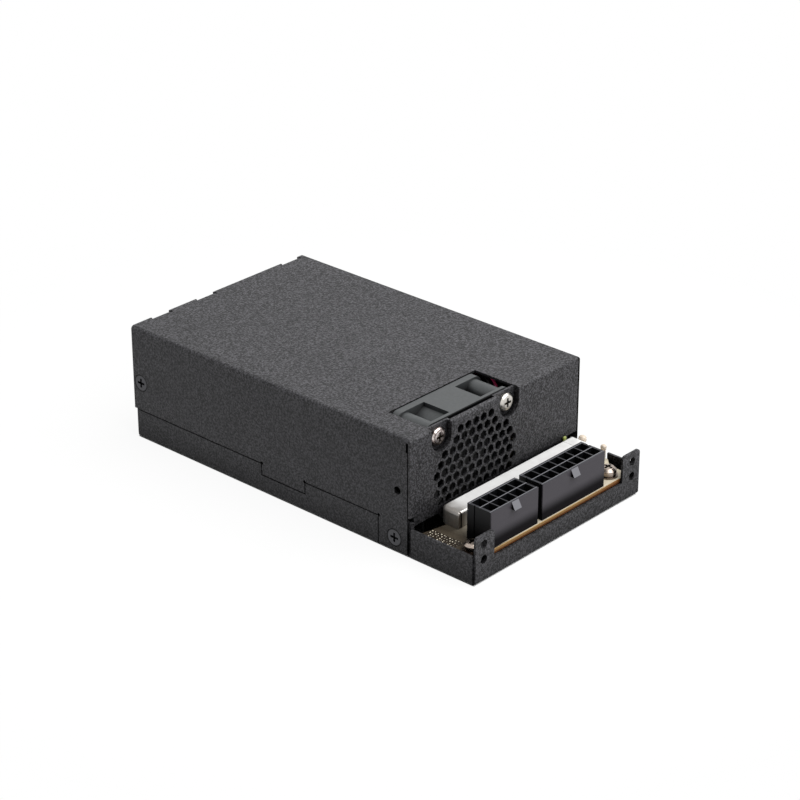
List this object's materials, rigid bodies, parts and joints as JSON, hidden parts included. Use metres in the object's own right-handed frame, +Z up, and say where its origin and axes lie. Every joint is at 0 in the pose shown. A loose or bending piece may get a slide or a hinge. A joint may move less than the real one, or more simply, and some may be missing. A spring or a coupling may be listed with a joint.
{
  "type": "flex atx power supply",
  "caption": "Low, long black steel-cased computer power supply with a small grilled fan and a tray of output sockets at one end and a mains inlet at the other.",
  "frame": {"origin": "middle of the case's underside", "axes": "+X across the case to the right as seen from the fan end, +Y along the case from the output sockets to the mains inlet, +Z up"},
  "size_m": [0.0816, 0.15, 0.0405],
  "materials": {
    "powder_coat": "black powder-coated steel sheet, fine wrinkle",
    "black_steel": "black oxide",
    "nickel_steel": "nickel-plated steel",
    "fan_plastic": "black glass-filled moulding",
    "rotor_plastic": "black moulding",
    "socket_plastic": "black moulding, satin",
    "ground_steel": "ground shaft",
    "bonded_magnet": "plastic-bonded ferrite",
    "sintered_bronze": "sintered bronze",
    "lamination": "stacked sheet",
    "copper_wire": "enamelled copper",
    "red_lead": "red wire insulation",
    "black_lead": "black wire insulation",
    "white_plug": "natural moulding",
    "board": "tan circuit board",
    "tin_brass": "tin-plated brass",
    "tinned_sheet": "tinned sheet",
    "tan_ceramic": "dipped coating",
    "green_coating": "dipped coating",
    "solder": "tin solder",
    "film": "clear insulating film",
    "brass": "turned brass",
    "inlet_plastic": "black moulding",
    "sleeve": "shrunk sleeve on an aluminium can",
    "ferrite": "pressed ferrite",
    "tape": "yellow insulating tape",
    "aluminium": "extruded, plain",
    "epoxy": "black moulding compound",
    "yellow_box": "yellow box",
    "fuse_glass": "glass tube with plated caps",
    "blue_coating": "dipped coating"
  },
  "bodies": {
    "case": {"top_cover": "powder_coat", "chassis_base": "powder_coat", "cover_screws": "black_steel", "fan_frame": "fan_plastic", "fan_bearing": "sintered_bronze", "fan_stator": "lamination", "fan_windings": "copper_wire", "fan_screws": "nickel_steel", "fan_lead_red": "red_lead", "fan_lead_black": "black_lead", "fan_plug": "white_plug", "connector_board": "board", "header_10": "socket_plastic", "header_10_pins": "tin_brass", "header_14": "socket_plastic", "header_14_pins": "tin_brass", "bus_bar": "tinned_sheet", "board_screws": "nickel_steel", "board_washers": "nickel_steel", "tray_standoffs": "brass", "dipped_capacitors": "tan_ceramic", "thermistor": "green_coating", "solder_strip": "solder", "main_board": "board", "board_links": "solder", "insulating_sheet": "film", "main_standoffs": "brass", "main_board_screws": "nickel_steel", "inlet_body": "inlet_plastic", "inlet_blades": "tin_brass", "inlet_screws": "black_steel", "bulk_capacitor": "sleeve", "output_capacitors": "sleeve", "pfc_choke_core": "ferrite", "pfc_choke_winding": "copper_wire", "transformer_core": "ferrite", "transformer_winding": "tape", "primary_heatsink": "aluminium", "secondary_heatsink": "aluminium", "power_transistors": "epoxy", "line_filter_choke": "ferrite", "x_capacitor": "yellow_box", "standby_transformer": "tape", "mains_fuse": "fuse_glass", "bridge_rectifier": "epoxy", "varistor": "blue_coating"},
    "rotor": {"fan_rotor": "rotor_plastic", "fan_shaft": "ground_steel", "fan_magnet": "bonded_magnet"}
  },
  "joints": [
    {"name": "fan_spin", "type": "hinge", "parent": "case", "child": "rotor", "pos_m": [-0.0103, -0.0387, 0.02025], "axis": [0, 1, 0], "continuous": true}
  ]
}
